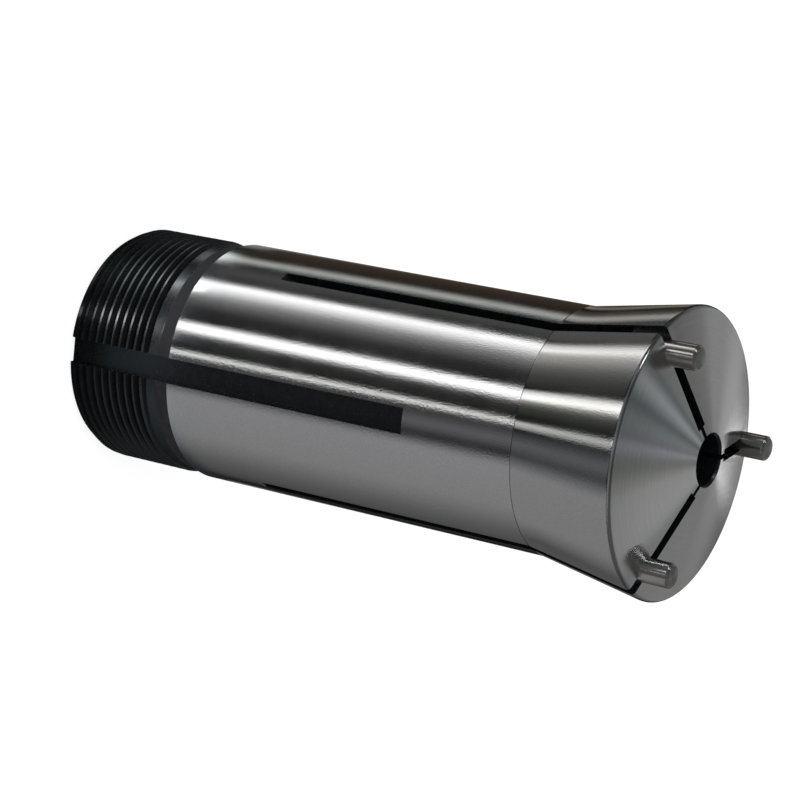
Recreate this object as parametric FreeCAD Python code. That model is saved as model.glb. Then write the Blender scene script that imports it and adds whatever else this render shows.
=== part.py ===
import FreeCAD, Part
import math
import os

from FreeCAD import Vector

# Emergency collet: a one-piece split spring collet with a solid nose that its user bores out to suit,
# and the three loose spacer pins that hold its slots open while the nose is bored.
#
# Millimetres. The origin is the centre of the rear, threaded face, and +Z runs along the bore to the nose.
# The keyway is on -Y. A slot, with a spacer pin in it, is at -30, 90 and 210 degrees from +X.

# Ground shank, which slides in the spindle's closing sleeve
SHANK_D = 31.75
SHANK_LENGTH = 51.8

# Tail behind the shank: its thread, plain at the major diameter, the relief it runs out in, and the cone that
# leads up to a small step at the ground shank
TAIL_THREAD_D = 31.44
TAIL_THREAD_LENGTH = 12.8
TAIL_LEAD_DEPTH = 0.8
TAIL_LEAD_LENGTH = 1.5
TAIL_RELIEF_D = 30.8
TAIL_RELIEF_LENGTH = 1.64
TAIL_CONE_LENGTH = 2.2
TAIL_CONE_STEP = 0.08

# Head, which the sleeve's cone squeezes
HEAD_LENGTH = 14.9
HEAD_HALF_ANGLE = 10.0
RIM_ROUND = 0.6
NOSE_SLOPE = 13.5

# Pilot bore through the solid nose
PILOT_BORE_D = 6.35
PILOT_MOUTH_CHAMFER = 0.25

# Hollow behind the nose, with the stop thread in its mouth: plain at the thread's minor diameter
STOP_THREAD_D = 25.3
STOP_THREAD_LENGTH = 15.2
STOP_MOUTH_CHAMFER = 0.6
CHAMBER_D = 26.5
CHAMBER_LENGTH = 52.0
CHAMBER_POINT_ANGLE = 118.0

# Keyway, open at the rear face
KEYWAY_WIDTH = 3.3
KEYWAY_DEPTH = 1.6
KEYWAY_LENGTH = 53.0
KEYWAY_ANGLE = 270.0

# Saw slots that part the nose and shank into three jaws, and the thin slits that join them to the bore
JAW_COUNT = 3
FIRST_SLOT_ANGLE = -30.0
SLOT_WIDTH = 1.6
SLOT_START = 28.0
SAW_D = 63.5
SLIT_WIDTH = 0.65
SLIT_DEPTH = 1.6

# Spacer pins, each across its slot in a flat-bottomed hole, and standing proud of the nose
PIN_D = 3.175
PIN_LENGTH = 9.525
PIN_END_CHAMFER = 0.3
PIN_HOLE_DEPTH = 5.9
PIN_HOLE_CLEARANCE = 0.01
PIN_RIM_WALL = 1.7

# How far a cutter runs past the metal that it cuts
OVERRUN = 2.0

# Stations along +Z and the radii that follow from the sizes above
shank_r = SHANK_D / 2
tail_r = TAIL_THREAD_D / 2
relief_r = TAIL_RELIEF_D / 2
pilot_r = PILOT_BORE_D / 2
stop_r = STOP_THREAD_D / 2
chamber_r = CHAMBER_D / 2
relief_start_z = TAIL_THREAD_LENGTH + (tail_r - relief_r) / 2
cone_start_z = relief_start_z + TAIL_RELIEF_LENGTH
shank_start_z = cone_start_z + TAIL_CONE_LENGTH
head_start_z = shank_start_z + SHANK_LENGTH
rim_z = head_start_z + HEAD_LENGTH
rim_r = shank_r + HEAD_LENGTH * math.tan(math.radians(HEAD_HALF_ANGLE))
slot_floor_r = pilot_r + SLIT_DEPTH
pin_hole_r = PIN_D / 2 + PIN_HOLE_CLEARANCE
pin_circle_r = rim_r - PIN_RIM_WALL - pin_hole_r


def nose_z(r):
    """Height of the nose's shallow cone at radius r."""
    return rim_z + (rim_r - r) * math.tan(math.radians(NOSE_SLOPE))


pin_floor_z = nose_z(pin_circle_r) - PIN_HOLE_DEPTH
front_z = max(nose_z(pilot_r), pin_floor_z + PIN_LENGTH) + OVERRUN


def slot_angles():
    """Angles of the slots and of the pins in them, evenly spaced round the axis."""
    return [FIRST_SLOT_ANGLE + i * 360.0 / JAW_COUNT for i in range(JAW_COUNT)]


def turned(shape, degrees):
    """A copy of shape, turned about the collet's axis."""
    copy = shape.copy()
    copy.rotate(Vector(0, 0, 0), Vector(0, 0, 1), degrees)
    return copy


def rounded(before, corner, after, radius):
    """Arc of the given radius, tangent to both sides of a corner."""
    back = (before - corner).normalize()
    ahead = (after - corner).normalize()
    inward = (back + ahead).normalize()
    half = back.getAngle(ahead) / 2
    tangent = radius / math.tan(half)
    crown = corner + inward * (radius / math.sin(half) - radius)
    return Part.Arc(corner + back * tangent, crown, corner + ahead * tangent).toShape()


def revolved(corners, roundings):
    """Solid of revolution from a closed half-section of (radius, z) corners; roundings maps a corner to its radius."""
    points = [Vector(r, 0, z) for r, z in corners]
    arcs = []
    for i, corner in enumerate(corners):
        before = points[i - 1]
        after = points[(i + 1) % len(points)]
        arcs.append(rounded(before, points[i], after, roundings[corner]) if corner in roundings else None)
    starts = [arc.firstVertex().Point if arc else point for arc, point in zip(arcs, points)]
    ends = [arc.lastVertex().Point if arc else point for arc, point in zip(arcs, points)]
    outline = []
    for i, arc in enumerate(arcs):
        if arc:
            outline.append(arc)
        outline.append(Part.makeLine(ends[i], starts[(i + 1) % len(points)]))
    return Part.Face(Part.Wire(outline)).revolve(Vector(0, 0, 0), Vector(0, 0, 1), 360)


def turned_blank():
    """The collet as it leaves the lathe: tail, shank, head and nose outside, pilot bore and chamber inside."""
    point_half = math.radians(CHAMBER_POINT_ANGLE / 2)
    chamber_end_z = CHAMBER_LENGTH + (chamber_r - pilot_r) / math.tan(point_half)
    thread_undercut = chamber_r - stop_r
    mouth_r = pilot_r + PILOT_MOUTH_CHAMFER
    rim = (rim_r, rim_z)
    section = [
        (stop_r + STOP_MOUTH_CHAMFER, 0),
        (tail_r - TAIL_LEAD_DEPTH, 0),
        (tail_r, TAIL_LEAD_LENGTH),
        (tail_r, TAIL_THREAD_LENGTH),
        (relief_r, relief_start_z),
        (relief_r, cone_start_z),
        (shank_r - TAIL_CONE_STEP, shank_start_z),
        (shank_r, shank_start_z),
        (shank_r, head_start_z),
        rim,
        (mouth_r, nose_z(mouth_r)),
        (pilot_r, nose_z(mouth_r) - PILOT_MOUTH_CHAMFER),
        (pilot_r, chamber_end_z),
        (chamber_r, CHAMBER_LENGTH),
        (chamber_r, STOP_THREAD_LENGTH + thread_undercut),
        (stop_r, STOP_THREAD_LENGTH),
        (stop_r, STOP_MOUTH_CHAMFER),
    ]
    return revolved(section, {rim: RIM_ROUND})


def saw_slot():
    """What the slitting saw takes out on +X: a flat floor beside the bore, swept up to the shank at its rear end."""
    saw_r = SAW_D / 2
    outer_r = rim_r + OVERRUN
    centre_r = slot_floor_r + saw_r
    centre_z = SLOT_START + math.sqrt(saw_r ** 2 - (centre_r - shank_r) ** 2)

    def on_saw(r):
        return Vector(r, 0, centre_z - math.sqrt(saw_r ** 2 - (centre_r - r) ** 2))

    floor_end = Vector(slot_floor_r, 0, centre_z)
    sweep = Part.Arc(floor_end, on_saw((slot_floor_r + outer_r) / 2), on_saw(outer_r))
    outline = Part.Wire([
        Part.makeLine(Vector(slot_floor_r, 0, front_z), floor_end),
        sweep.toShape(),
        Part.makeLine(on_saw(outer_r), Vector(outer_r, 0, front_z)),
        Part.makeLine(Vector(outer_r, 0, front_z), Vector(slot_floor_r, 0, front_z)),
    ])
    slot = Part.Face(outline).extrude(Vector(0, SLOT_WIDTH, 0))
    slot.translate(Vector(0, -SLOT_WIDTH / 2, 0))
    return slot


def bore_slit():
    """The thin cut on +X that parts the last web between a slot's floor and the pilot bore."""
    length = front_z - CHAMBER_LENGTH
    reach = slot_floor_r + SLIT_WIDTH
    return Part.makeBox(reach, SLIT_WIDTH, length, Vector(0, -SLIT_WIDTH / 2, CHAMBER_LENGTH))


def keyway():
    """The key's groove on +X: flat floor, square front end, open at the rear face."""
    floor_r = shank_r - KEYWAY_DEPTH
    corner = Vector(floor_r, -KEYWAY_WIDTH / 2, -OVERRUN)
    return Part.makeBox(KEYWAY_DEPTH + OVERRUN, KEYWAY_WIDTH, KEYWAY_LENGTH + OVERRUN, corner)


def pin_hole():
    """Flat-bottomed hole on +X that a spacer pin pushes into, across the slot."""
    return Part.makeCylinder(pin_hole_r, front_z - pin_floor_z, Vector(pin_circle_r, 0, pin_floor_z))


def collet_body():
    """The split collet: the blank, turned so that its seam falls in a slot, then sawn, slit, drilled and keyed."""
    blank = turned(turned_blank(), FIRST_SLOT_ANGLE)
    cutters = [turned(keyway(), KEYWAY_ANGLE)]
    for angle in slot_angles():
        cutters.append(turned(saw_slot(), angle))
        cutters.append(turned(bore_slit(), angle))
        cutters.append(turned(pin_hole(), angle))
    return blank.cut(cutters)


def spacer_pin(angle):
    """A hardened dowel with broken ends, standing on the floor of its hole."""
    pin = Part.makeCylinder(PIN_D / 2, PIN_LENGTH, Vector(pin_circle_r, 0, pin_floor_z))
    ends = [e for e in pin.Edges if isinstance(e.Curve, Part.Circle)]
    return turned(pin.makeChamfer(PIN_END_CHAMFER, ends), angle)


def save(name, shape):
    """Write one node, as a single closed solid."""
    solid = shape.Solids[0]
    assert len(shape.Solids) == 1 and solid.isValid(), name
    solid.exportStep(f"parts/{name}.step")


os.makedirs("parts", exist_ok=True)
save("collet_body", collet_body())
for number, angle in enumerate(slot_angles(), start=1):
    save(f"spacer_pin_{number}", spacer_pin(angle))
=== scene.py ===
import math

import bmesh
import bpy
from bpy.props import FloatProperty, FloatVectorProperty, IntProperty, PointerProperty
from mathutils import Matrix, Vector


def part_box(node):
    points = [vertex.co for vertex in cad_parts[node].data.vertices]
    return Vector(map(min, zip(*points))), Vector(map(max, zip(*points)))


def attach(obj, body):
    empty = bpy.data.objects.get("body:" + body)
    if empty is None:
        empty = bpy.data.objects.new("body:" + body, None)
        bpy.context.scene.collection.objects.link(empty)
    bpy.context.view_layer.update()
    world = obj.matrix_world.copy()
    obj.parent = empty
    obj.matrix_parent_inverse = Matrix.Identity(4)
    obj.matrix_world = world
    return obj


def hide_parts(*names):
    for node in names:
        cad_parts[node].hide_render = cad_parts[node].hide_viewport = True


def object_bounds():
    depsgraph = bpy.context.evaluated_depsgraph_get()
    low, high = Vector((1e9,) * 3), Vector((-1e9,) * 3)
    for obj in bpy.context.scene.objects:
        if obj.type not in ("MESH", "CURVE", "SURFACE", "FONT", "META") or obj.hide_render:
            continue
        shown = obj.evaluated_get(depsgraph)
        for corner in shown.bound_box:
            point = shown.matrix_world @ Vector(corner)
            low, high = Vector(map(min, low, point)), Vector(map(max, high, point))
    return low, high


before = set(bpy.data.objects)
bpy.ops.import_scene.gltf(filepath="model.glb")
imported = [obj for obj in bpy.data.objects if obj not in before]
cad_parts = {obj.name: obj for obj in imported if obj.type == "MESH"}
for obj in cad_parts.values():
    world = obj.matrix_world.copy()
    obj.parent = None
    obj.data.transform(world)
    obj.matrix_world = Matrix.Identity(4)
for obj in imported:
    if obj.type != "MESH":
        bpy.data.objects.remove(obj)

bl_info = {
    "name": "Emergency Collet",
    "version": (1, 0, 0),
    "blender": (4, 5, 0),
    "location": "3D View > Sidebar > Collet",
    "description": "Split collet with a solid nose, its spacer pins, and a small studio to show it in",
    "category": "Add Mesh",
}

MM = 0.001
OVERRUN = 2 * MM
PINS = ("spacer_pin_1", "spacer_pin_2", "spacer_pin_3")
SLOT_ANGLES = tuple(math.radians(a) for a in (-30, 90, 210))
KEYWAY_ANGLE = math.radians(270)
SMOOTH_BELOW = math.radians(25)
CAD_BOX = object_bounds()


def length(name, millimetres, description):
    """A size in metres that the sidebar shows in the scene's own unit."""
    return FloatProperty(name=name, description=description, default=millimetres * MM, min=0,
                         unit="LENGTH", precision=4)


def angle(name, degrees, description):
    return FloatProperty(name=name, description=description, default=math.radians(degrees), subtype="ANGLE")


def colour(name, hexadecimal, description):
    """A colour that is written as sRGB and kept as linear light."""
    return FloatVectorProperty(name=name, description=description, default=linear(hexadecimal)[:3],
                               size=3, min=0, max=1, subtype="COLOR")


def linear(hexadecimal):
    """Linear RGBA for an sRGB colour such as "#c8c6c3"."""
    parts = [int(hexadecimal[i:i + 2], 16) / 255 for i in (1, 3, 5)]
    return tuple(p / 12.92 if p <= 0.04045 else ((p + 0.055) / 1.055) ** 2.4 for p in parts) + (1.0,)


class ColletSizes(bpy.types.PropertyGroup):
    """Sizes of the turned body, along the axis from the rear face, and across it."""
    shank_diameter: length("Shank diameter", 31.75, "Ground shank that slides in the closer's sleeve")
    shank_start: length("Shank start", 16.8, "Height where the black tail ends and the ground shank starts")
    head_start: length("Head start", 68.6, "Height where the shank ends and the taper starts")
    head_angle: angle("Head angle", 10, "Taper of the head, on each side")
    rim_height: length("Rim height", 83.5, "Height of the corner between the head and the nose")
    rim_round: length("Rim rounding", 0.6, "Radius that the rim is rounded to")
    nose_angle: angle("Nose angle", 13.5, "Slope of the nose's shallow cone")
    bore_diameter: length("Pilot bore", 6.35, "Bore through the solid nose")
    chamber_diameter: length("Chamber diameter", 26.5, "Hollow behind the nose")
    chamber_length: length("Chamber length", 52, "Height where the hollow's drilled point starts")
    chamber_point: angle("Chamber point", 118, "Angle of the drilled point at the hollow's end")
    chamber_start: length("Chamber start", 15.8, "Height where the hollow is at its full diameter")
    bore_chamfer: length("Bore chamfer", 0.25, "Broken edge at the pilot bore's mouth")
    tail_diameter: length("Tail thread", 31.44, "Diameter over the crests of the drawbar thread")
    tail_root: length("Tail thread root", 30.0, "Diameter at the roots of the drawbar thread")
    tail_pitch: length("Tail pitch", 1.27, "Pitch of the drawbar thread, 20 turns to the inch")
    tail_end: length("Tail thread end", 12.8, "Height where the drawbar thread's full diameter ends")
    lead_depth: length("Lead depth", 0.8, "Depth of the chamfer that leads into the drawbar thread")
    lead_height: length("Lead height", 1.5, "Height where that chamfer ends")
    relief_diameter: length("Relief diameter", 30.8, "Smooth band that the drawbar thread runs out in")
    relief_start: length("Relief start", 12.96, "Height where the smooth band starts")
    relief_end: length("Relief end", 14.6, "Height where the smooth band ends and the cone starts")
    cone_step: length("Cone step", 0.08, "Small step from the cone up to the ground shank")
    stop_diameter: length("Stop thread", 25.3, "Diameter over the crests of the stop thread, inside the tail")
    stop_root: length("Stop thread root", 26.4, "Diameter at the roots of the stop thread")
    stop_pitch: length("Stop pitch", 1.0583, "Pitch of the stop thread, 24 turns to the inch")
    stop_end: length("Stop thread end", 15.2, "Height where the stop thread's wall ends")
    stop_chamfer: length("Stop chamfer", 0.6, "Chamfer at the rear mouth")
    keyway_width: length("Keyway width", 3.3, "Groove for the spindle's key")
    keyway_depth: length("Keyway depth", 1.6, "Depth of the key's groove")
    keyway_length: length("Keyway length", 53, "Height where the key's groove ends")
    slot_width: length("Slot width", 1.6, "Thickness of the saw that parts the jaws")
    slot_start: length("Slot start", 28, "Height where the slots come out of the shank")
    saw_diameter: length("Saw diameter", 63.5, "Saw whose round edge shows as the slots' run-out")
    slit_width: length("Slit width", 0.65, "Thin cuts that join the slots to the bore")
    slit_depth: length("Slit depth", 1.6, "Depth of the thin cuts, out from the bore")
    pin_chamfer: length("Pin chamfer", 0.3, "Broken edges at the ends of the spacer pins")
    pin_clearance: length("Pin clearance", 0.01, "Room round a spacer pin in its hole")
    steps: IntProperty(name="Steps", description="Facets round the turned body", default=288, min=24)


class ColletColours(bpy.types.PropertyGroup):
    """Colours of the bare metal and of the oxide."""
    ground: colour("Ground steel", "#c8c8c8", "Shank and head")
    turned: colour("Turned steel", "#c3c2c2", "Nose")
    oxide: colour("Black oxide", "#0c0e10", "Tail, keyway, slots and inside")
    oxide_dull: colour("Dull black oxide", "#272528", "Cone between the tail and the shank")
    dowel: colour("Dowel steel", "#cbc8c4", "Spacer pins")
    # The pins' end colour is darker than their sides: painted shade on the end faces.
    dowel_end: colour("Dowel ends", "#807f7d", "Cropped ends of the spacer pins")


class ColletStudio(bpy.types.PropertyGroup):
    """Strength of the light, and what the bare metal sees round it."""
    sky: FloatProperty(name="Sky", description="Even light from all round", default=0.75, min=0)
    key_power: FloatProperty(name="Key lamp", description="Soft lamp over the collet", default=5.0, min=0,
                             unit="POWER")
    strips: FloatProperty(name="Strips", description="Brightness of what bare metal mirrors", default=2.4, min=0)
    floor: colour("Floor", "#f4f4f4", "Floor and backdrop")


# Modelling


def select_only(obj):
    bpy.ops.object.select_all(action="DESELECT")
    obj.select_set(True)
    bpy.context.view_layer.objects.active = obj


def edit_select(obj, wanted):
    """In edit mode, select the corners for which wanted is true, and the edges and faces between them."""
    mesh = bmesh.from_edit_mesh(obj.data)
    for part in (mesh.faces, mesh.edges, mesh.verts):
        for item in part:
            item.select = False
    for vert in mesh.verts:
        vert.select = bool(wanted(vert.co))
    mesh.select_mode = {"VERT"}
    mesh.select_flush_mode()
    bmesh.update_edit_mesh(obj.data)


def drawn_section(name, corners):
    """A closed wire in the XZ plane, extruded from one corner to the next. It is left in edit mode, all selected."""
    bpy.ops.object.select_all(action="DESELECT")
    bpy.ops.mesh.primitive_plane_add(size=MM)
    obj = bpy.context.object
    obj.name = name
    bpy.ops.object.mode_set(mode="EDIT")
    bpy.ops.mesh.merge(type="CENTER")
    bpy.ops.transform.translate(value=(corners[0][0], 0, corners[0][1]))
    for (r0, z0), (r1, z1) in zip(corners, corners[1:]):
        bpy.ops.mesh.extrude_vertices_move(TRANSFORM_OT_translate={"value": (r1 - r0, 0, z1 - z0)})
    ends = (Vector((corners[0][0], 0, corners[0][1])), Vector((corners[-1][0], 0, corners[-1][1])))
    edit_select(obj, lambda co: min((co - end).length for end in ends) < 1e-7)
    bpy.ops.mesh.edge_face_add()
    bpy.ops.mesh.select_all(action="SELECT")
    return obj


def eased(corners, steps=6):
    """(radius, height) points of a section whose corners are (radius, height, rounding)."""
    points = []
    for i, (r, z, rounding) in enumerate(corners):
        here = Vector((r, z))
        if not rounding:
            points.append(here)
            continue
        back = (Vector(corners[i - 1][:2]) - here).normalized()
        ahead = (Vector(corners[(i + 1) % len(corners)][:2]) - here).normalized()
        half = back.angle(ahead) / 2
        centre = here + (back + ahead).normalized() * rounding / math.sin(half)
        first = here + back * rounding / math.tan(half) - centre
        last = here + ahead * rounding / math.tan(half) - centre
        for k in range(steps + 1):
            points.append(centre + first.slerp(last, k / steps).normalized() * rounding)
    return [(p.x, p.y) for p in points]


def lathed(name, corners, steps):
    """Spin a closed section once round Z."""
    obj = drawn_section(name, corners)
    bpy.ops.mesh.spin(steps=steps, angle=math.tau, center=(0, 0, 0), axis=(0, 0, 1))
    bpy.ops.mesh.select_all(action="SELECT")
    bpy.ops.mesh.remove_doubles(threshold=1e-6)
    bpy.ops.mesh.normals_make_consistent(inside=False)
    bpy.ops.object.mode_set(mode="OBJECT")
    return obj


def thread_cutter(name, crest, root, pitch, start, turns, steps, fade):
    """A right-hand helical groove with 60 degree flanks, which lifts out over its last part turn, fade."""
    flat = pitch / 8
    over = crest + (crest - root) * 0.25
    half = flat / 2 + abs(over - root) * math.tan(math.radians(30))
    section = [(root, -flat / 2), (root, flat / 2), (over, half), (over, -half)]
    obj = drawn_section(name, [(r, z + start) for r, z in section])
    bpy.ops.object.mode_set(mode="OBJECT")
    screw = obj.modifiers.new("Turns", "SCREW")
    screw.angle = math.tau
    screw.screw_offset = pitch
    screw.iterations = turns
    screw.steps = steps
    screw.render_steps = steps
    screw.use_merge_vertices = False
    bpy.ops.object.modifier_apply(modifier=screw.name)
    for vert in obj.data.vertices:
        part = (math.atan2(vert.co.y, vert.co.x) % math.tau) / math.tau
        turn = round((vert.co.z - start) / pitch - part) + part
        lift = max(0, (turn - turns + fade) / fade)
        radius = math.hypot(vert.co.x, vert.co.y)
        raised = radius + (over - root) * lift * 1.02
        vert.co.x *= raised / radius
        vert.co.y *= raised / radius
    bpy.ops.object.mode_set(mode="EDIT")
    bpy.ops.mesh.select_all(action="SELECT")
    bpy.ops.mesh.fill_holes(sides=0)
    bpy.ops.mesh.select_all(action="SELECT")
    bpy.ops.mesh.normals_make_consistent(inside=False)
    bpy.ops.object.mode_set(mode="OBJECT")
    return obj


def block_cutter(name, low, high):
    """A rectangular cutter between two corners."""
    bpy.ops.object.select_all(action="DESELECT")
    middle = [(a + b) / 2 for a, b in zip(low, high)]
    bpy.ops.mesh.primitive_cube_add(size=1, location=middle)
    obj = bpy.context.object
    obj.name = name
    obj.scale = [b - a for a, b in zip(low, high)]
    bpy.ops.object.transform_apply(location=True, rotation=False, scale=True)
    return obj


def saw_cutter(s):
    """The saw's sweep on +X: its round edge at the rear, and its straight path out through the nose."""
    saw = s.saw_diameter / 2
    shank = s.shank_diameter / 2
    floor = s.bore_diameter / 2 + s.slit_depth
    centre = (floor + saw, 0, s.slot_start + math.sqrt(saw ** 2 - (floor + saw - shank) ** 2))
    bpy.ops.object.select_all(action="DESELECT")
    bpy.ops.mesh.primitive_cylinder_add(vertices=256, radius=saw, depth=s.slot_width, location=centre,
                                        rotation=(math.pi / 2, 0, 0))
    obj = bpy.context.object
    bpy.ops.object.transform_apply(location=True, rotation=True, scale=True)
    bpy.ops.object.mode_set(mode="EDIT")
    edit_select(obj, lambda co: co.z > centre[2] + 1e-6)
    bpy.ops.transform.translate(value=(0, 0, s.rim_height))
    bpy.ops.object.mode_set(mode="OBJECT")
    return obj


def round_the_axis(obj, angles):
    """Turn the object's mesh to the first angle, and join copies of it at the others."""
    copies = []
    for turn in angles[1:]:
        copy = obj.copy()
        copy.data = obj.data.copy()
        bpy.context.scene.collection.objects.link(copy)
        copy.data.transform(Matrix.Rotation(turn, 4, "Z"))
        copies.append(copy)
    obj.data.transform(Matrix.Rotation(angles[0], 4, "Z"))
    select_only(obj)
    for copy in copies:
        copy.select_set(True)
    if copies:
        bpy.ops.object.join()
    return obj


def cut(body, cutter):
    """Take the cutter out of the body, and throw it away."""
    select_only(body)
    before = len(body.data.polygons)
    boolean = body.modifiers.new("Cut", "BOOLEAN")
    boolean.operation = "DIFFERENCE"
    boolean.solver = "EXACT"
    boolean.object = cutter
    bpy.ops.object.modifier_apply(modifier=boolean.name)
    if len(body.data.polygons) == before:
        raise RuntimeError(f"{cutter.name} cut nothing")
    bpy.data.objects.remove(cutter)


def body_section(s):
    """Closed half-section of the turned body, with the rounding of each corner: out along the rear face, up the
    outside, in over the nose, and down the bore and the chamber. A fine line parts the shank and the head."""
    shank = s.shank_diameter / 2
    tail = s.tail_diameter / 2
    relief = s.relief_diameter / 2
    bore = s.bore_diameter / 2
    stop = s.stop_diameter / 2
    chamber = s.chamber_diameter / 2
    rim = shank + (s.rim_height - s.head_start) * math.tan(s.head_angle)
    nose = s.rim_height + (rim - bore) * math.tan(s.nose_angle)
    point = s.chamber_length + (chamber - bore) / math.tan(s.chamber_point / 2)
    mouth = s.bore_chamfer
    line = 0.04 * MM
    line_depth = 0.03 * MM
    return [
        (stop + s.stop_chamfer, 0, 0),
        (tail - s.lead_depth, 0, 0.15 * MM),
        (tail, s.lead_height, 0.25 * MM),
        (tail, s.tail_end, 0.05 * MM),
        (relief, s.relief_start, 0.05 * MM),
        (relief, s.relief_end, 0.4 * MM),
        (shank - s.cone_step, s.shank_start, 0),
        (shank, s.shank_start + 0.06 * MM, 0),
        (shank, s.head_start - line, 0),
        (shank - line_depth, s.head_start, 0),
        (shank + line * math.tan(s.head_angle), s.head_start + line, 0),
        (rim, s.rim_height, s.rim_round),
        (bore + mouth, nose - mouth * math.tan(s.nose_angle), 0.04 * MM),
        (bore, nose - 1.5 * mouth, 0),
        (bore, point, 0),
        (chamber, s.chamber_length, 0),
        (chamber, s.chamber_start, 0),
        (stop, s.stop_end, 0),
        (stop, s.stop_chamfer, 0),
    ]


# Materials


def add(tree, kind, inputs=None, **settings):
    """Add a node with its settings. An input is a value, or the socket that feeds it."""
    made = tree.nodes.new(kind)
    for key, value in settings.items():
        setattr(made, key, value)
    for key, value in (inputs or {}).items():
        if isinstance(value, bpy.types.NodeSocket):
            tree.links.new(value, made.inputs[key])
        else:
            made.inputs[key].default_value = value
    return made


def fresh(name):
    """An empty material and its node tree."""
    material = bpy.data.materials.new(name)
    material.use_nodes = True
    material.node_tree.nodes.clear()
    return material, material.node_tree


def finish_surface(tree, shader):
    add(tree, "ShaderNodeOutputMaterial", {"Surface": shader})


def lay(tree, along, across, detail=3.0):
    """Noise drawn out round the Z axis, as a wheel or a tool leaves it: along and across are its sizes in metres."""
    place = add(tree, "ShaderNodeTexCoord").outputs["Object"]
    stretched = add(tree, "ShaderNodeMapping", {"Vector": place, "Scale": (1 / along, 1 / along, 1 / across)})
    return add(tree, "ShaderNodeTexNoise", {"Vector": stretched.outputs["Vector"], "Scale": 1.0, "Detail": detail,
                                            "Roughness": 0.6}).outputs["Fac"]


def tinted(tree, base, fac, low, high):
    """The base colour, made a little darker or lighter by fac."""
    shade = add(tree, "ShaderNodeMapRange", {"Value": fac, "From Min": 0.3, "From Max": 0.7,
                                             "To Min": low, "To Max": high}).outputs["Result"]
    return add(tree, "ShaderNodeVectorMath", {0: tuple(base), "Scale": shade}, operation="SCALE").outputs["Vector"]


def hardened_spring_steel_ground(colours):
    """Hardened spring steel, cylindrically ground: the wheel's marks run round the axis, so light is drawn out along
    it into long bright lines with slightly ragged sides. A wheel's marks are 0.02 mm wide; they are drawn 0.18 mm,
    the finest that shows."""
    material, tree = fresh("hardened_spring_steel_ground")
    marks = lay(tree, 0.22 * MM, 0.18 * MM, 1.0)
    patches = lay(tree, 9 * MM, 5 * MM, 2.0)
    rough = add(tree, "ShaderNodeMapRange", {"Value": patches, "From Min": 0.3, "From Max": 0.7,
                                             "To Min": 0.10, "To Max": 0.15}).outputs["Result"]
    relief = add(tree, "ShaderNodeBump", {"Height": marks, "Strength": 1.0, "Distance": 0.009 * MM}).outputs["Normal"]
    tangent = add(tree, "ShaderNodeTangent", direction_type="RADIAL", axis="Z").outputs["Tangent"]
    shader = add(tree, "ShaderNodeBsdfPrincipled", {
        "Base Color": tinted(tree, colours.ground, marks, 0.93, 1.04), "Metallic": 1.0, "Roughness": rough,
        "Anisotropic": 0.6, "Anisotropic Rotation": 0.25, "Tangent": tangent, "Normal": relief})
    finish_surface(tree, shader.outputs["BSDF"])
    return material


def spring_steel_turned(colours):
    """Spring steel, faced in the lathe: feed marks in rings, about 0.2 mm apart, that spread light into wedges. On
    the nose's slope that is 0.05 mm of height."""
    material, tree = fresh("spring_steel_turned")
    marks = lay(tree, 6 * MM, 0.05 * MM)
    relief = add(tree, "ShaderNodeBump", {"Height": marks, "Strength": 0.4, "Distance": 0.02 * MM}).outputs["Normal"]
    tangent = add(tree, "ShaderNodeTangent", direction_type="RADIAL", axis="Z").outputs["Tangent"]
    shader = add(tree, "ShaderNodeBsdfPrincipled", {
        "Base Color": tinted(tree, colours.turned, marks, 0.96, 1.03), "Metallic": 1.0, "Roughness": 0.15,
        "Anisotropic": 0.97, "Anisotropic Rotation": 0.25, "Tangent": tangent, "Normal": relief})
    finish_surface(tree, shader.outputs["BSDF"])
    return material


def black_oxide(name, shade, smooth, dull, ior):
    """Hot black oxide on steel: a thin magnetite skin, so it is near black, a little blue, and its gloss, between two
    roughnesses, is that of the metal below: half glossy and oiled, or dull where a coarse tool has left it."""
    material, tree = fresh(name)
    mottle = lay(tree, 1.6 * MM, 1.2 * MM, 4.0)
    rough = add(tree, "ShaderNodeMapRange", {"Value": mottle, "From Min": 0.3, "From Max": 0.7,
                                             "To Min": smooth, "To Max": dull}).outputs["Result"]
    relief = add(tree, "ShaderNodeBump", {"Height": mottle, "Strength": 0.25, "Distance": 0.02 * MM}).outputs["Normal"]
    shader = add(tree, "ShaderNodeBsdfPrincipled", {
        "Base Color": tinted(tree, shade, mottle, 0.8, 1.25), "Roughness": rough, "IOR": ior,
        "Normal": relief})
    finish_surface(tree, shader.outputs["BSDF"])
    return material


def dowel_steel(name, shade, roughness):
    """Hardened dowel steel with a very fine lay: bright where the pin is centreless ground and polished, and a duller
    grey disc where its end was cropped, given a darker colour as painted shade."""
    material, tree = fresh(name)
    marks = lay(tree, 1.2 * MM, 0.12 * MM)
    relief = add(tree, "ShaderNodeBump", {"Height": marks, "Strength": 0.3, "Distance": 0.01 * MM}).outputs["Normal"]
    tangent = add(tree, "ShaderNodeTangent", direction_type="RADIAL", axis="Z").outputs["Tangent"]
    shader = add(tree, "ShaderNodeBsdfPrincipled", {
        "Base Color": tinted(tree, shade, marks, 0.94, 1.04), "Metallic": 1.0, "Roughness": roughness,
        "Anisotropic": 0.6, "Anisotropic Rotation": 0.25, "Tangent": tangent, "Normal": relief})
    finish_surface(tree, shader.outputs["BSDF"])
    return material


GROUND, TURNED, OILED, DULL = range(4)


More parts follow.
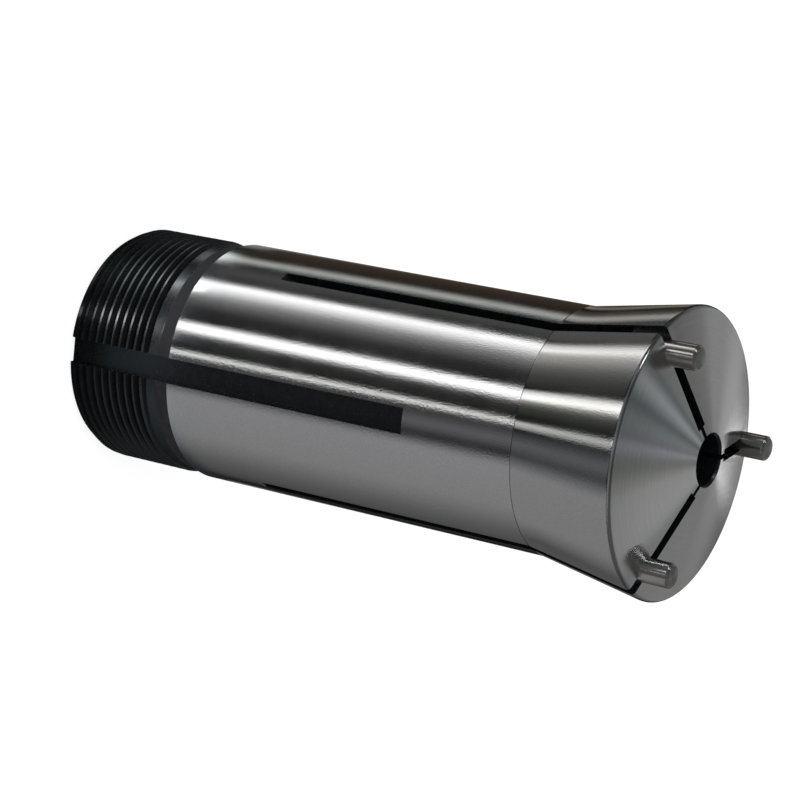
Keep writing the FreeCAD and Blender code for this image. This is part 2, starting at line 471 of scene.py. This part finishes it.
def dress_body(obj, s, colours):
    """Ground steel on the shank and head, turned steel on the nose, and black oxide elsewhere, dull on the cone that
    leads up to the shank and oiled in the fine line between shank and head, whose black is partly painted shade for
    that line's shadow."""
    finishes = (hardened_spring_steel_ground(colours), spring_steel_turned(colours),
                black_oxide("black_oxide_oiled", colours.oxide, 0.21, 0.33, 1.5),
                black_oxide("black_oxide_dull", colours.oxide_dull, 0.6, 0.75, 1.3))
    for material in finishes:
        obj.data.materials.append(material)
    shank = s.shank_diameter / 2
    cone_start = s.relief_end + 0.1 * MM
    for face in obj.data.polygons:
        radius = math.hypot(face.center.x, face.center.y)
        outward = (face.normal.x * face.center.x + face.normal.y * face.center.y) / max(radius, 1e-9)
        # The fine line between shank and head gets oiled black oxide: oxide left where the wheel misses, and also
        # painted shade standing in for the line's shadow.
        if abs(face.center.z - s.head_start) < 0.1 * MM and radius > shank - 0.1 * MM:
            face.material_index = OILED
        elif face.center.z > s.shank_start + 0.01 * MM and radius > shank - 0.1 * MM and abs(outward) > 0.3:
            face.material_index = GROUND
        elif face.center.z > s.rim_height and face.normal.z > 0.85:
            face.material_index = TURNED
        elif cone_start < face.center.z < s.shank_start and outward > 0.9 and radius > s.relief_diameter / 2:
            face.material_index = DULL
        else:
            face.material_index = OILED


# Operators


class COLLET_OT_body(bpy.types.Operator):
    """Turn the body, cut its threads, keyway, slots, slits and pin holes, and give each surface its finish"""
    bl_idname = "collet.body"
    bl_label = "Collet body"

    def execute(self, context):
        s = context.scene.collet_sizes
        body = lathed("split_collet", eased(body_section(s)), s.steps)
        cut(body, thread_cutter("drawbar_thread", s.tail_diameter / 2, s.tail_root / 2, s.tail_pitch,
                                start=-0.7 * MM, turns=11, steps=180, fade=0.3))
        cut(body, thread_cutter("stop_thread", s.stop_diameter / 2, s.stop_root / 2, s.stop_pitch,
                                start=-0.6 * MM, turns=15, steps=120, fade=0.2))
        shank = s.shank_diameter / 2
        key = block_cutter("keyway", (shank - s.keyway_depth, -s.keyway_width / 2, -OVERRUN),
                           (shank + OVERRUN, s.keyway_width / 2, s.keyway_length))
        cut(body, round_the_axis(key, (KEYWAY_ANGLE,)))
        cut(body, round_the_axis(saw_cutter(s), SLOT_ANGLES))
        inside_bore = 2.2 * MM
        slot_floor = s.bore_diameter / 2 + s.slit_depth
        slit = block_cutter("slit", (inside_bore, -s.slit_width / 2, s.chamber_length),
                            (slot_floor + s.slit_width, s.slit_width / 2, s.rim_height + 4 * OVERRUN))
        cut(body, round_the_axis(slit, SLOT_ANGLES))
        for node in PINS:
            cut(body, self.pin_hole(node, s.pin_clearance))
        select_only(body)
        bpy.ops.object.shade_smooth_by_angle(angle=SMOOTH_BELOW)
        dress_body(body, s, context.scene.collet_colours)
        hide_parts("collet_body")
        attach(body, "root")
        return {"FINISHED"}

    def pin_hole(self, node, clearance):
        """Cutter for one pin's flat-bottomed hole, a little wider than the pin all round."""
        low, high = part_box(node)
        bpy.ops.object.select_all(action="DESELECT")
        bpy.ops.mesh.primitive_cylinder_add(vertices=64, radius=(high.x - low.x) / 2 + clearance,
                                            depth=high.z - low.z, location=(low + high) / 2)
        hole = bpy.context.object
        bpy.ops.object.transform_apply(location=True, rotation=True, scale=True)
        return hole


class COLLET_OT_spacer_pins(bpy.types.Operator):
    """Make one dowel with broken ends, and stand a copy in each hole"""
    bl_idname = "collet.spacer_pins"
    bl_label = "Spacer pins"

    def execute(self, context):
        s = context.scene.collet_sizes
        low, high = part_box(PINS[0])
        pin = self.dowel((high.x - low.x) / 2, high.z - low.z, s.pin_chamfer)
        colours = context.scene.collet_colours
        pin.data.materials.append(dowel_steel("dowel_steel_polished", colours.dowel, 0.24))
        # The end faces take the darker grey, painted shade, with a duller finish.
        pin.data.materials.append(dowel_steel("dowel_steel_cropped_shaded", colours.dowel_end, 0.3))
        for face in pin.data.polygons:
            face.material_index = int(abs(face.normal.z) > 0.9)
        for node in PINS:
            low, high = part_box(node)
            copy = pin.copy()
            copy.data = pin.data.copy()
            copy.name = node.replace("spacer_pin", "dowel")
            context.scene.collection.objects.link(copy)
            copy.data.transform(Matrix.Translation(((low.x + high.x) / 2, (low.y + high.y) / 2, low.z)))
            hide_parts(node)
            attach(copy, "root")
        bpy.data.objects.remove(pin)
        return {"FINISHED"}

    def dowel(self, radius, height, chamfer):
        """One dowel standing on the origin: ends chamfered, the chamfers' corners eased, and its poles closed."""
        pole = 0.0004 * MM
        corners = [(pole, 0, 0), (radius - chamfer, 0, 0.08 * MM), (radius, chamfer, 0.15 * MM),
                   (radius, height - chamfer, 0.15 * MM), (radius - chamfer, height, 0.08 * MM),
                   (pole, height, 0)]
        pin = lathed("dowel", eased(corners, 3), 72)
        bpy.ops.object.mode_set(mode="EDIT")
        for end in (0, height):
            edit_select(pin, lambda co: math.hypot(co.x, co.y) < 0.01 * MM and abs(co.z - end) < 0.01 * MM)
            bpy.ops.mesh.merge(type="CENTER")
        bpy.ops.object.mode_set(mode="OBJECT")
        select_only(pin)
        bpy.ops.object.shade_smooth_by_angle(angle=SMOOTH_BELOW)
        return pin


# Where the camera is, and which ways are right and up in its picture
CAMERA = Vector((-56.592, -290.834, 221.901)) * MM
CAMERA_RIGHT = Vector((-0.104267, 0.536548, 0.837403))
CAMERA_UP = Vector((-0.980765, 0.084229, -0.176085))

# Radius of the wall that mirrors the floor and the card, and how much farther round the axis the side that mirrors a
# place lies, for the upright wall over the floor and for the head's slope over the card
WALL_RADIUS = 15.9 * MM
WALL_GAIN = 1.06
HEAD_GAIN = 1.21

# Direction of the small bright window that glints in the bore's mouth
WINDOW = (-0.764, -0.05, 0.644)

# What bare metal mirrors. Each strip is placed by the side of the collet, in degrees round the axis, that shows it to
# the camera, and coloured as it looks there: on the ground shank, on the head, and on the black tail. The wedges of
# sky are for the nose.
SHANK_STRIPS = (
    (172, "#545454"), (177, "#2c251f"), (197, "#1a1615"), (199, "#6d6c69"), (202, "#959894"),
    (205, "#191819"), (214, "#393a39"), (218.5, "#1d1c1c"), (220.8, "#333333"), (222.4, "#fbfbfb"),
    (225, "#d4d4d4"), (230, "#707070"), (234, "#474747"), (238, "#242424"), (244.8, "#121112"),
    (245.7, "#e5e6e5"), (249.2, "#f9f8f9"), (250.7, "#292a29"), (259.5, "#070807"), (260.1, "#e2e2df"),
    (260.9, "#ffffff"), (261.5, "#2a2a2a"), (264, "#2e2e2e"), (268.5, "#4c4b4e"), (274.5, "#141214"),
    (279.5, "#6c6c6e"), (300, "#676767"), (316, "#494949"), (330, "#343434"), (336, "#121212"),
    (343, "#101010"), (344.5, "#545454"),
)
HEAD_STRIPS = (
    (178, "#2e2923"), (183, "#5e5a54"), (187, "#010100"), (196, "#3d3833"), (199.5, "#80817f"),
    (202.5, "#696561"), (203.5, "#2b2e2c"), (204.6, "#141414"), (207, "#3a3a3b"), (213, "#3f3f3f"),
    (218.5, "#3a3a39"), (220.3, "#151413"), (222, "#a5a3a2"), (225, "#d5d3d0"), (227, "#8f8d8a"),
    (230, "#767573"), (234, "#4c4d4c"), (238, "#363635"), (244.8, "#181918"), (245.8, "#a5a6a4"),
    (248.6, "#f6f6f3"), (250.5, "#61605c"), (252.5, "#333532"), (258.3, "#050505"), (259.4, "#3e3e3c"),
    (260.8, "#cacbc8"), (262, "#030303"), (269, "#47494a"), (274, "#303133"), (281, "#676768"),
    (306, "#636363"), (320, "#3d3d3d"),
)
TAIL_STRIPS = (
    (178, "#1c1c1c"), (186, "#000000"), (194, "#0b0d0b"), (198, "#464b47"), (202, "#4f5152"),
    (208, "#020303"), (218, "#0b0c0e"), (223, "#505356"), (226, "#ccd0d4"), (229, "#3a363a"),
    (233, "#08090c"), (241, "#282b2f"), (245, "#2c2f35"), (249, "#1b2022"), (252, "#57565e"),
    (256, "#010203"), (262, "#3a3e42"), (272, "#1a1c20"), (286, "#272b2e"), (300, "#171b1e"),
    (318, "#060709"), (340, "#040404"),
)
THREAD_STRIPS = (
    (178, "#000000"), (190, "#0c0e10"), (198, "#1c2024"), (208, "#1a1e20"), (216, "#343a3c"),
    (224, "#5a6466"), (230, "#687072"), (234, "#464e50"), (240, "#1e2224"), (246, "#343a3c"),
    (248.5, "#d8dcdc"), (251, "#e0e4e4"), (252.5, "#404648"), (258, "#1c2022"), (275, "#181c1e"),
    (290, "#1e2224"), (310, "#14181a"), (340, "#000000"),
)
# Black metal mirrors so little that its strips are this much brighter
TAIL_BOOST = 9.0

# Rings of the floor, by distance from the axis in millimetres: between the first two the strips change to the third,
# from the thread's at the middle
FLOOR_RINGS = ((27, 31, TAIL_STRIPS, TAIL_BOOST), (35, 38, SHANK_STRIPS, 1.0))

SKY_WEDGES = (
    (0, "#6a6a6a"), (20, "#737373"), (40, "#808080"), (50, "#b9b9b9"), (57, "#d9d9d9"), (80, "#c7c7c8"),
    (105, "#ffffff"), (115, "#bdbdbe"), (130, "#919292"), (145, "#888988"), (160, "#777778"),
    (172, "#797a7a"), (182, "#676867"), (200, "#5f5f60"), (218, "#6a6c6c"), (223, "#4d5253"),
    (230, "#8a8d90"), (236, "#6b7070"), (240, "#4b4e53"), (246, "#69706f"), (251, "#707576"),
    (256, "#626267"), (260, "#8c8d94"), (265, "#6d7070"), (270, "#656966"), (276, "#777774"),
    (284, "#878888"), (305, "#89898a"), (314, "#848585"), (322, "#6f7070"), (345, "#6d6d6d"),
)


# How bright the wedges are, by how far they lie off that middle: between the first two it changes to the third
SKY_BANDS = ((0.33, 0.45, 1.1), (0.7, 0.9, 0.4), (1.6, 1.7, 1.1))


class COLLET_OT_studio(bpy.types.Operator):
    """Put the collet on a pale floor, in soft light, with a camera on it"""
    bl_idname = "collet.studio"
    bl_label = "Studio"

    def execute(self, context):
        studio = context.scene.collet_studio
        self.floor(studio)
        self.card(studio)
        self.sky(context.scene, studio)
        self.lamp(studio)
        self.camera(context.scene)
        context.scene.view_settings.view_transform = "Standard"
        return {"FINISHED"}

    def ramp(self, tree, turn, stops, gain):
        """A colour ramp over a full turn, from (degrees, colour) stops."""
        made = add(tree, "ShaderNodeValToRGB", {"Fac": turn})
        elements = made.color_ramp.elements
        while len(elements) > 1:
            elements.remove(elements[0])
        for i, (at, shown) in enumerate(stops):
            element = elements.new(at / 360) if i else elements[0]
            element.position = at / 360
            element.color = [part * gain for part in linear(shown)[:3]] + [1]
        return made.outputs["Color"]

    def turn_about(self, tree, point, centre):
        """How far round the centre a point lies, seen from above, from 0 to 1."""
        offset = add(tree, "ShaderNodeVectorMath", {0: point, 1: centre}, operation="SUBTRACT").outputs["Vector"]
        parts = add(tree, "ShaderNodeSeparateXYZ", {"Vector": offset}).outputs
        angle = add(tree, "ShaderNodeMath", {0: parts["Y"], 1: parts["X"]}, operation="ARCTAN2").outputs[0]
        turns = add(tree, "ShaderNodeMath", {0: angle, 1: math.tau}, operation="DIVIDE").outputs[0]
        return add(tree, "ShaderNodeMath", {0: turns, 1: 1.0}, operation="FLOORED_MODULO").outputs[0]

    def by_ray(self, tree, plain, camera, glossy):
        """One shader for dull surfaces, one for the camera, and one for what metal mirrors."""
        path = add(tree, "ShaderNodeLightPath").outputs
        seen = add(tree, "ShaderNodeMixShader", {"Fac": path["Is Camera Ray"], 1: plain, 2: camera}).outputs[0]
        return add(tree, "ShaderNodeMixShader", {"Fac": path["Is Glossy Ray"], 1: seen, 2: glossy}).outputs[0]

    def side_shown(self, tree, gain):
        """Which side of the collet, from 0 to 1 round the axis, mirrors a place under it to the camera, seen from
        above, and the place's distance from the axis. The side lies between the place and the camera: nearer the
        camera by gain times the share of the distance that lies outside the wall."""
        towards = Vector((CAMERA.x, CAMERA.y, 0)).normalized()
        place = add(tree, "ShaderNodeTexCoord").outputs["Object"]
        flat = add(tree, "ShaderNodeVectorMath", {0: place, 1: (1, 1, 0)}, operation="MULTIPLY").outputs["Vector"]
        distance = add(tree, "ShaderNodeVectorMath", {0: flat}, operation="LENGTH").outputs["Value"]
        ahead = add(tree, "ShaderNodeVectorMath", {0: flat, 1: towards}, operation="DOT_PRODUCT").outputs["Value"]
        aside = add(tree, "ShaderNodeVectorMath", {0: flat, 1: (-towards.y, towards.x, 0)},
                    operation="DOT_PRODUCT").outputs["Value"]
        angle = add(tree, "ShaderNodeMath", {0: aside, 1: ahead}, operation="ARCTAN2").outputs[0]
        inside = add(tree, "ShaderNodeMath", {0: WALL_RADIUS, 1: distance}, operation="DIVIDE").outputs[0]
        share = add(tree, "ShaderNodeMath", {0: inside, 1: -gain, 2: 1 + gain}, operation="MULTIPLY_ADD").outputs[0]
        side = add(tree, "ShaderNodeMath", {0: angle, 1: share}, operation="DIVIDE").outputs[0]
        start = math.atan2(towards.y, towards.x) % math.tau / math.tau
        turn = add(tree, "ShaderNodeMath", {0: side, 1: 1 / math.tau, 2: start}, operation="MULTIPLY_ADD").outputs[0]
        return turn, distance

    def floor(self, studio):
        """A wide disc. The camera sees it white, with the collet's soft shadow; metal sees the strips on it, dark
        under the collet and dimmer far away."""
        bpy.ops.object.select_all(action="DESELECT")
        bpy.ops.mesh.primitive_circle_add(vertices=96, radius=3, fill_type="NGON", location=(0, 0, -0.02 * MM))
        floor = bpy.context.object
        floor.name = "floor"
        bpy.ops.object.transform_apply(location=True)
        material, tree = fresh("studio_floor")
        turn, distance = self.side_shown(tree, WALL_GAIN)
        strips = self.ramp(tree, turn, THREAD_STRIPS, TAIL_BOOST)
        for start, end, stops, boost in FLOOR_RINGS:
            out = add(tree, "ShaderNodeMapRange", {
                "Value": distance, "From Min": start * MM, "From Max": end * MM}).outputs["Result"]
            strips = add(tree, "ShaderNodeMix", {
                "Factor": out, "A": strips, "B": self.ramp(tree, turn, stops, boost)}, data_type="RGBA").outputs[2]
        fade = add(tree, "ShaderNodeMapRange", {
            "Value": distance, "From Min": 180 * MM, "From Max": 500 * MM,
            "To Min": studio.strips, "To Max": studio.strips * 0.3}).outputs["Result"]
        foot = add(tree, "ShaderNodeMapRange", {
            "Value": distance, "From Min": 20 * MM, "From Max": 22 * MM,
            "To Min": 0.1, "To Max": fade}).outputs["Result"]
        mirrored = add(tree, "ShaderNodeEmission", {"Color": strips, "Strength": foot}).outputs[0]
        paper = add(tree, "ShaderNodeBsdfDiffuse", {"Color": tuple(studio.floor) + (1,)}).outputs[0]
        thin = add(tree, "ShaderNodeBsdfDiffuse", {"Color": (0.2, 0.2, 0.2, 1)}).outputs[0]
        glow = add(tree, "ShaderNodeEmission", {"Color": (1, 1, 1, 1), "Strength": 0.88}).outputs[0]
        white = add(tree, "ShaderNodeAddShader", {0: thin, 1: glow}).outputs[0]
        finish_surface(tree, self.by_ray(tree, paper, white, mirrored))
        floor.data.materials.append(material)

    def card(self, studio):
        """A ring of card round the end of the shank, which only metal sees, from above. It shows the head its own
        strips, where the floor would show them askew on its slope."""
        bpy.ops.object.select_all(action="DESELECT")
        bpy.ops.mesh.primitive_circle_add(vertices=96, radius=WALL_RADIUS + 0.05 * MM, fill_type="NOTHING",
                                          location=(0, 0, 68.6 * MM))
        card = bpy.context.object
        card.name = "card"
        bpy.ops.object.transform_apply(location=True)
        bpy.ops.object.mode_set(mode="EDIT")
        bpy.ops.mesh.select_all(action="SELECT")
        bpy.ops.mesh.extrude_edges_move()
        bpy.ops.transform.resize(value=(2.5, 2.5, 1), center_override=(0, 0, 0))
        bpy.ops.mesh.select_all(action="SELECT")
        bpy.ops.mesh.flip_normals()
        bpy.ops.object.mode_set(mode="OBJECT")
        material, tree = fresh("studio_card")
        strips = self.ramp(tree, self.side_shown(tree, HEAD_GAIN)[0], HEAD_STRIPS, 1.0)
        mirrored = add(tree, "ShaderNodeEmission", {"Color": strips, "Strength": studio.strips}).outputs[0]
        clear = add(tree, "ShaderNodeBsdfTransparent").outputs[0]
        below = add(tree, "ShaderNodeNewGeometry").outputs["Backfacing"]
        finish_surface(tree, add(tree, "ShaderNodeMixShader", {"Fac": below, 1: mirrored, 2: clear}).outputs[0])
        card.data.materials.append(material)
        card.visible_camera = card.visible_diffuse = card.visible_shadow = card.visible_transmission = False

    def sky(self, scene, studio):
        """Even white all round for the camera and for dull surfaces, and wedges of pale grey wall for bare metal. The
        wedges fan out from what the nose would mirror if it were flat, so each lies along the nose's slope. The top
        of the sky is dark, apart from a small bright window."""
        world = bpy.data.worlds.new("studio_sky")
        world.use_nodes = True
        scene.world = world
        tree = world.node_tree
        tree.nodes.clear()
        seen = (CAMERA - Vector((0, 0, CAD_BOX[1].z))).normalized()
        middle = (-seen.x, -seen.y, 0)
        direction = add(tree, "ShaderNodeTexCoord").outputs["Generated"]
        turn = self.turn_about(tree, direction, middle)
        wedges = self.ramp(tree, turn, SKY_WEDGES, 1.0)
        flat = add(tree, "ShaderNodeVectorMath", {0: direction, 1: (1, 1, 0)}, operation="MULTIPLY").outputs["Vector"]
        off = add(tree, "ShaderNodeVectorMath", {0: flat, 1: middle}, operation="DISTANCE").outputs["Value"]
        spread = add(tree, "ShaderNodeMapRange", {
            "Value": off, "From Min": 0.05, "From Max": 0.085, "To Min": 0.25, "To Max": 1.0}).outputs["Result"]
        height = add(tree, "ShaderNodeSeparateXYZ", {"Vector": direction}).outputs["Z"]
        level = add(tree, "ShaderNodeMapRange", {
            "Value": height, "From Min": 0.80, "From Max": 0.86, "To Min": 1.9, "To Max": 0.05}).outputs["Result"]
        for start, end, beyond in SKY_BANDS:
            level = add(tree, "ShaderNodeMapRange", {
                "Value": off, "From Min": start, "From Max": end, "To Min": level, "To Max": beyond}).outputs["Result"]
        wall = add(tree, "ShaderNodeMath", {0: spread, 1: level}, operation="MULTIPLY").outputs[0]
        to_window = add(tree, "ShaderNodeVectorMath", {0: direction, 1: WINDOW}, operation="DOT_PRODUCT")
        window = add(tree, "ShaderNodeMapRange", {
            "Value": to_window.outputs["Value"], "From Min": 0.995, "From Max": 0.998,
            "To Min": 0, "To Max": 40}).outputs["Result"]
        strength = add(tree, "ShaderNodeMath", {0: wall, 1: window}, operation="ADD").outputs[0]
        even = add(tree, "ShaderNodeBackground", {"Color": (1, 1, 1, 1), "Strength": studio.sky}).outputs[0]
        white = add(tree, "ShaderNodeBackground", {"Color": (1, 1, 1, 1), "Strength": 1.0}).outputs[0]
        metal = add(tree, "ShaderNodeBackground", {"Color": wedges, "Strength": strength}).outputs[0]
        add(tree, "ShaderNodeOutputWorld", {"Surface": self.by_ray(tree, even, white, metal)})

    def lamp(self, studio):
        """A soft lamp, 0.6 m across, high on the camera's left."""
        bpy.ops.object.light_add(type="AREA", location=(-0.5, -0.6, 1.1))
        lamp = bpy.context.object
        lamp.name = "soft_lamp"
        lamp.data.energy = studio.key_power
        lamp.data.size = 0.6
        lamp.visible_glossy = False
        lamp.rotation_euler = (Vector((0, 0, 0.04)) - lamp.location).to_track_quat("-Z", "Y").to_euler()

    def camera(self, scene):
        """Long lens, 0.37 m away, looking down at 31 degrees and rolled so that the nose points right."""
        bpy.ops.object.camera_add()
        camera = bpy.context.object
        camera.name = "camera"
        camera.data.lens = 120.6
        camera.data.sensor_width = 36
        turn = Matrix((CAMERA_RIGHT, CAMERA_UP, CAMERA_RIGHT.cross(CAMERA_UP))).transposed().to_4x4()
        camera.matrix_world = Matrix.Translation(CAMERA) @ turn
        scene.camera = camera


OPERATORS = (COLLET_OT_body, COLLET_OT_spacer_pins, COLLET_OT_studio)


class COLLET_PT_panel(bpy.types.Panel):
    bl_idname = "COLLET_PT_panel"
    bl_label = "Emergency collet"
    bl_space_type = "VIEW_3D"
    bl_region_type = "UI"
    bl_category = "Collet"

    def draw(self, context):
        for operator in OPERATORS:
            self.layout.operator(operator.bl_idname)


GROUPS = {"collet_sizes": ColletSizes, "collet_colours": ColletColours, "collet_studio": ColletStudio}


def register():
    for cls in (*GROUPS.values(), *OPERATORS, COLLET_PT_panel):
        bpy.utils.register_class(cls)
    for name, group in GROUPS.items():
        setattr(bpy.types.Scene, name, PointerProperty(type=group))


def unregister():
    for name in GROUPS:
        delattr(bpy.types.Scene, name)
    for cls in (COLLET_PT_panel, *reversed(OPERATORS), *GROUPS.values()):
        bpy.utils.unregister_class(cls)


def main():
    register()
    bpy.ops.collet.body()
    bpy.ops.collet.spacer_pins()
    bpy.ops.collet.studio()


if __name__ == "__main__":
    main()
